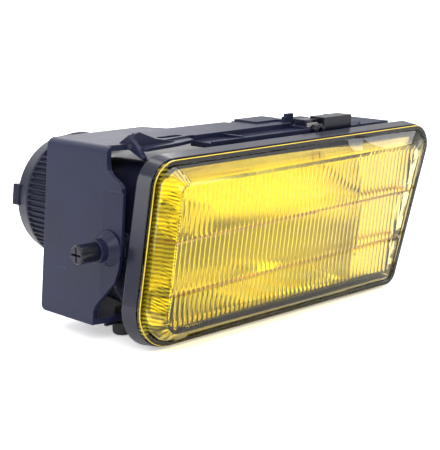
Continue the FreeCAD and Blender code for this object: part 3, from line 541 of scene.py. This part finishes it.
def roundedOutline(corners, radii, inset, cuts, bends, depthAt):
    # points of a rounded outline: bends points round each corner, cuts[i] along side i
    points = []
    corners = insetCorners(corners, inset)
    reaches = []
    for i in range(4):
        corner = Vector(corners[i])
        before = (Vector(corners[i - 1]) - corner).normalized()
        after = (Vector(corners[(i + 1) % 4]) - corner).normalized()
        half = before.angle(after) / 2
        radius = max(radii[i] - inset, 1.5)
        reaches.append((corner, before, after, half, radius))
    for i in range(4):
        corner, before, after, half, radius = reaches[i]
        middle = corner + (before + after).normalized() * radius / math.sin(half)
        start = corner + before * radius / math.tan(half) - middle
        sweep = math.pi - 2 * half
        for k in range(bends + 1):
            turn = -sweep * k / bends
            x = start.x * math.cos(turn) - start.y * math.sin(turn)
            z = start.x * math.sin(turn) + start.y * math.cos(turn)
            points.append((middle.x + x, middle.y + z))
        following = reaches[(i + 1) % 4]
        fromEnd = corner + after * radius / math.tan(half)
        toStart = following[0] + following[1] * following[4] / math.tan(following[3])
        for k in range(1, cuts[i]):
            spot = fromEnd.lerp(toStart, k / cuts[i])
            points.append((spot.x, spot.y))
    return [at(x, depthAt(x), z) for x, z in points]


def leanDepth(left, right):
    # depth in front of the flange, changing evenly from the left end to the right end
    leftEnd, rightEnd = flangeCorners[3][0], flangeCorners[1][0]

    def depth(x):
        return left + (right - left) * (x - leftEnd) / (rightEnd - leftEnd)
    return depth


def keyOf(place):
    return (round(place.x, 6), round(place.y, 6), round(place.z, 6))


def startLoop(name, points):
    # a filled circle whose rim is laid along the outline
    deselectAll()
    bpy.ops.mesh.primitive_circle_add(vertices=len(points), radius=0.05, fill_type="NGON")
    piece = bpy.context.object
    piece.name = name
    bakePlace(piece)
    for vertex, place in zip(piece.data.vertices, points):
        vertex.co = place
    return piece


def growLoop(piece, before, after):
    # extrude the flat cap whose rim is `before`, and lay the new rim along `after`
    keys = {keyOf(place): i for i, place in enumerate(before)}
    size = len(before)

    def isCap(face):
        places = [piece.data.vertices[v].co for v in face.vertices]
        return len(places) == size and all(keyOf(place) in keys for place in places)

    editFaces(piece, isCap)
    bpy.ops.mesh.extrude_region_move()
    bpy.ops.object.mode_set(mode="OBJECT")
    for vertex in piece.data.vertices:
        if vertex.select:
            vertex.co = after[keys[keyOf(vertex.co)]]
    piece.data.update()


def growRings(piece, rings):
    for before, after in zip(rings, rings[1:]):
        growLoop(piece, before, after)


# lens
lensSet = {
    "wall": 2.3, "flange": 2.2, "faceDepth": (-13.4, -5.0), "skirtDepth": (-4.6, -1.4),
    "edgeCut": 0.35, "draft": 0.4, "shoulderOut": 0.25, "shoulderBack": (0.75, 0.45), "faceIn": 0.35,
    "cuts": (234, 92, 222, 76), "bends": 12, "ribDepth": 0.2, "smooth": 24,
    "flutePitch": 3.0, "fluteSteps": 5, "fluteDepth": 0.5, "fluteLean": 0.1756, "fluteMean": 0.35,
    "fluteFirst": -88.0, "fluteSpan": 182, "runOut": 2.6, "runOutRows": (0.5, 1.6, 3.0),
    "grooves": (7.8, -15.3), "grooveHalf": 0.85, "grooveDepth": 0.8, "grooveEnds": (-86.0, 84.0),
}


def buildLens(spec):
    wall, flange, draft = spec["wall"], spec["flange"], spec["draft"]
    outerDepth = leanDepth(*spec["faceDepth"])
    innerDepth = leanDepth(*(depth + wall for depth in spec["faceDepth"]))

    def loop(corners, radii, inset, depthAt):
        return roundedOutline(corners, radii, inset, spec["cuts"], spec["bends"], depthAt)

    def flangeLoop(inset, depthAt):
        return loop(flangeCorners, flangeRadii, inset, depthAt)

    def faceLoop(inset, depthAt):
        return loop(faceCorners, faceRadii, inset, depthAt)

    def ribbed(points):
        # every second point stands inwards, so the wall is ribbed right round
        centre = sum(points, Vector()) / len(points)
        result = []
        for i, place in enumerate(points):
            ahead = points[(i + 1) % len(points)] - points[i - 1]
            inward = Vector((ahead.z, 0, -ahead.x)).normalized()
            if inward.dot(centre - place) < 0:
                inward = -inward
            result.append(place + inward * spec["ribDepth"] / 1000 * (i % 2))
        return result

    back = flangeLoop(0, lambda x: 0)
    front = flangeLoop(0, lambda x: -flange + spec["edgeCut"])
    edge = flangeLoop(spec["edgeCut"], lambda x: -flange)
    foot = flangeLoop(flange, lambda x: -flange)
    skirt = flangeLoop(flange + draft, leanDepth(*spec["skirtDepth"]))
    shoulderEnds = [depth + rise for depth, rise in zip(spec["faceDepth"], spec["shoulderBack"])]
    shoulder = faceLoop(-spec["shoulderOut"], leanDepth(*shoulderEnds))
    face = faceLoop(spec["faceIn"], outerDepth)
    piece = startLoop("lensFluted", back)
    growRings(piece, [back, front, edge, foot, skirt, shoulder, face])
    # the hollow behind it, with an even wall
    behind = min(wall, -spec["skirtDepth"][1] / 2)
    mouth = flangeLoop(flange + wall, lambda x: 0)
    innerEnds = [depth + behind for depth in spec["skirtDepth"]]
    innerSkirt = flangeLoop(flange + wall + draft, leanDepth(*innerEnds))
    innerFace = ribbed(faceLoop(wall, innerDepth))
    growRings(piece, [back, mouth, ribbed(innerSkirt), innerFace])
    rimKeys = {keyOf(place) for place in innerFace + face}

    def onCap(place, depthAt):
        return abs((place.y - lensCentre.y) * 1000 - depthAt((place.x - lensCentre.x) * 1000)) < 0.02

    def capPoints(depthAt):
        # points of a flat cap, away from its rim, with their place in millimetres
        for vertex in piece.data.vertices:
            if onCap(vertex.co, depthAt) and keyOf(vertex.co) not in rimKeys:
                yield vertex, (vertex.co - lensCentre) * 1000

    def cutCap(depthAt, planes):
        # cut the flat cap along each plane, with the rest of the lens hidden
        flat = [onCap(v.co, depthAt) for v in piece.data.vertices]
        editFaces(piece, lambda face: all(flat[v] for v in face.vertices))
        bpy.ops.mesh.hide(unselected=True)
        for planeAt, planeTo in planes:
            bpy.ops.mesh.select_all(action="SELECT")
            bpy.ops.mesh.bisect(plane_co=planeAt, plane_no=planeTo)
        bpy.ops.mesh.reveal(select=False)
        bpy.ops.object.mode_set(mode="OBJECT")

    # two grooves across the outside
    cuts = [groove + step * spec["grooveHalf"] for groove in spec["grooves"] for step in (-1, 0, 1)]
    cutCap(outerDepth, [(at(0, 0, height), (0, 0, 1)) for height in cuts])
    grooveLeft, grooveRight = spec["grooveEnds"]
    for vertex, place in capPoints(outerDepth):
        nearest = min(abs(place.z - groove) for groove in spec["grooves"])
        if nearest < 0.05 and grooveLeft < place.x < grooveRight:
            vertex.co.y += spec["grooveDepth"] / 1000
    piece.data.update()

    # rows near the top and bottom edges, where the flutes run out, then the flutes inside
    topLeft, topRight, lowRight, lowLeft = [Vector(corner) for corner in faceCorners]
    topRow, lowRow = (topRight - topLeft).normalized(), (lowRight - lowLeft).normalized()
    planes = []
    for inside in spec["runOutRows"]:
        planes.append((at(topLeft.x, 0, topLeft.y - wall - inside), (-topRow.y, 0, topRow.x)))
        planes.append((at(lowLeft.x, 0, lowLeft.y + wall + inside), (-lowRow.y, 0, lowRow.x)))
    first, pitch, steps = spec["fluteFirst"], spec["flutePitch"], spec["fluteSteps"]
    lean = Vector((1, 0, -spec["fluteLean"])).normalized()
    for i in range(int(spec["fluteSpan"] / pitch) * steps + 1):
        planes.append((at(first + i * pitch / steps, 0, 0), lean))
    cutCap(innerDepth, planes)
    for vertex, place in capPoints(innerDepth):
        phase = ((place.x - spec["fluteLean"] * place.z - first) / pitch) % 1.0
        topGap = topLeft.y - wall + topRow.y / topRow.x * (place.x - topLeft.x) - place.z
        lowGap = place.z - (lowLeft.y + wall + lowRow.y / lowRow.x * (place.x - lowLeft.x))
        fade = max(0.0, min(1.0, min(topGap, lowGap) / spec["runOut"])) ** 0.6
        crest = 1 - (2 * phase - 1) ** 2
        vertex.co.y += (crest - spec["fluteMean"]) * spec["fluteDepth"] * fade / 1000
    piece.data.update()
    turnOutward(piece)
    smoothShade(piece, spec["smooth"])
    piece.data.materials.append(finishes["yellow_lens"])
    piece.data.materials.append(lensEdge)
    edgeKeys = {keyOf(place) for place in front + edge}
    for polygon in piece.data.polygons:
        if all(keyOf(piece.data.vertices[v].co) in edgeKeys for v in polygon.vertices):
            polygon.material_index = 1
    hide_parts("lens")
    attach(piece, "lamp")
    print("lens:", len(piece.data.polygons), "faces")


buildLens(lensSet)


# rear cap
capSet = {
    "axis": (-48.3, 8.2), "front": 80.0, "back": 112.0, "chamfer": 101.3, "radius": 32.7, "backRadius": 29.9,
    "inside": 29.6, "insideBack": 103.0, "dish": 24.9, "dishDepth": 0.7, "centre": 3.0, "smooth": 32,
    "ribs": 72, "ribDepth": 1.2, "notchAngle": 128.0, "notchHalf": 3.2, "notchDepth": 2.2,
    "gripReach": 31.5, "gripWidth": 10.5, "gripHeight": 2.0, "gripRoot": 1.2, "gripTurn": 6.5,
    "lugFront": 108.5, "lugInner": 27.4, "lugInset": 0.12, "gripRound": 0.6,
}
pointsPerRib = 5


def buildCap(spec):
    cx, cz = spec["axis"]
    count = spec["ribs"] * pointsPerRib
    radius, front, back = spec["radius"], spec["front"], spec["back"]
    chamfer, backRadius, dish = spec["chamfer"], spec["backRadius"], spec["dish"]
    dishFloor = back - spec["dishDepth"]

    def ring(size, y, ribbed=False):
        # ribs are two points wide and the grooves between them three
        points = []
        for i in range(count):
            angle = 2 * math.pi * i / count
            here = size
            if ribbed and i % pointsPerRib > 1:
                here -= spec["ribDepth"]
            if ribbed and abs(math.degrees(angle) - spec["notchAngle"]) < spec["notchHalf"]:
                here = size - spec["notchDepth"]
            points.append(at(cx + here * math.cos(angle), y, cz + here * math.sin(angle)))
        return points

    mouth = ring(radius - 0.5, front)
    piece = startLoop("rearCapRibbed", mouth)
    growRings(piece, [
        mouth, ring(radius, front + 0.5), ring(radius, front + 2.0), ring(radius, front + 2.5, True),
        ring(radius, chamfer - 2.2, True), ring(radius, chamfer - 1.6), ring(radius, chamfer - 0.3),
        ring(radius - 0.25, chamfer + 0.5), ring(backRadius + 0.25, back - 0.9),
        ring(backRadius - 0.6, back - 0.15), ring(backRadius - 1.4, back), ring(dish + 0.6, back),
        ring(dish, dishFloor), ring(spec["centre"], dishFloor),
    ])
    growRings(piece, [
        mouth, ring(spec["inside"], front), ring(spec["inside"], spec["insideBack"]),
        ring(spec["inside"] - 2.0, back - 2.6),
    ])
    turnOutward(piece)
    fuse(piece, buildGrip(spec))
    smoothShade(piece, spec["smooth"])
    piece.data.materials.clear()
    piece.data.materials.append(finishes["black_cap"])
    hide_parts("rear_cap")
    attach(piece, "cap")
    print("rear cap:", len(piece.data.polygons), "faces")


def buildGrip(spec):
    # grip bar across the back, with a lug at each end that stands past the edge
    cx, cz = spec["axis"]
    back, reach, inner, inset = spec["back"], spec["gripReach"], spec["lugInner"], spec["lugInset"]
    low, high = spec["lugFront"], back + spec["gripHeight"]
    blocks = [
        (-reach, reach, back - spec["gripRoot"], 0),
        (-reach, -inner, low, inset),
        (inner, reach, low, inset),
    ]
    bars = []
    for x0, x1, y0, smaller in blocks:
        deselectAll()
        bpy.ops.mesh.primitive_cube_add(size=1, location=at(cx + (x0 + x1) / 2, (y0 + high) / 2, cz))
        bar = bpy.context.object
        bar.scale = Vector((x1 - x0 - smaller, high - y0 - smaller, spec["gripWidth"] - smaller)) / 1000
        bakePlace(bar)
        bevel = bar.modifiers.new("soften", "BEVEL")
        bevel.width = spec["gripRound"] / 1000
        bevel.segments = 3
        makeActive(bar)
        bpy.ops.object.modifier_apply(modifier=bevel.name)
        bars.append(bar)
    grip = bars[0]
    for lug in bars[1:]:
        fuse(grip, lug)
    editFaces(grip, lambda face: True)
    bpy.ops.transform.rotate(
        value=-math.radians(spec["gripTurn"]), orient_axis="Y", orient_type="GLOBAL",
        center_override=at(cx, back, cz))
    bpy.ops.object.mode_set(mode="OBJECT")
    return grip


def fuse(body, tool):
    makeActive(body)
    union = body.modifiers.new("union", "BOOLEAN")
    union.operation = "UNION"
    union.solver = "EXACT"
    union.object = tool
    bpy.ops.object.modifier_apply(modifier=union.name)
    bpy.data.objects.remove(tool)


buildCap(capSet)


# floor
floorSet = {"half": 12.0, "below": 0.0004, "colour": (0.955, 0.955, 0.96), "rough": 0.6, "glow": 0.42}


def buildFloor():
    deselectAll()
    bpy.ops.mesh.primitive_plane_add(size=floorSet["half"] * 2, location=(0, 0, -floorSet["below"]))
    floor = bpy.context.object
    floor.name = "studioFloor"
    bakePlace(floor)
    material, tree, shader, place = startMaterial("paleFloor")
    grainNode = useGroup(tree, mouldGrain, place, {"Size": 3.0})
    colour = floorSet["colour"]
    paler = tuple(min(1.0, c * 1.02) for c in colour)
    tone = mixColour(tree, spread(tree, grainNode.outputs["Tone"], 0, 1), colour + (1,), paler + (1,))
    tree.links.new(tone, shader.inputs["Base Color"])
    shader.inputs["Roughness"].default_value = floorSet["rough"]
    shader.inputs["Emission Color"].default_value = (1, 1, 1, 1)
    path = tree.nodes.new("ShaderNodeLightPath")
    lift = mathNode(tree, "MULTIPLY", path.outputs["Is Camera Ray"], floorSet["glow"])
    tree.links.new(lift, shader.inputs["Emission Strength"])
    floor.data.materials.append(material)


buildFloor()
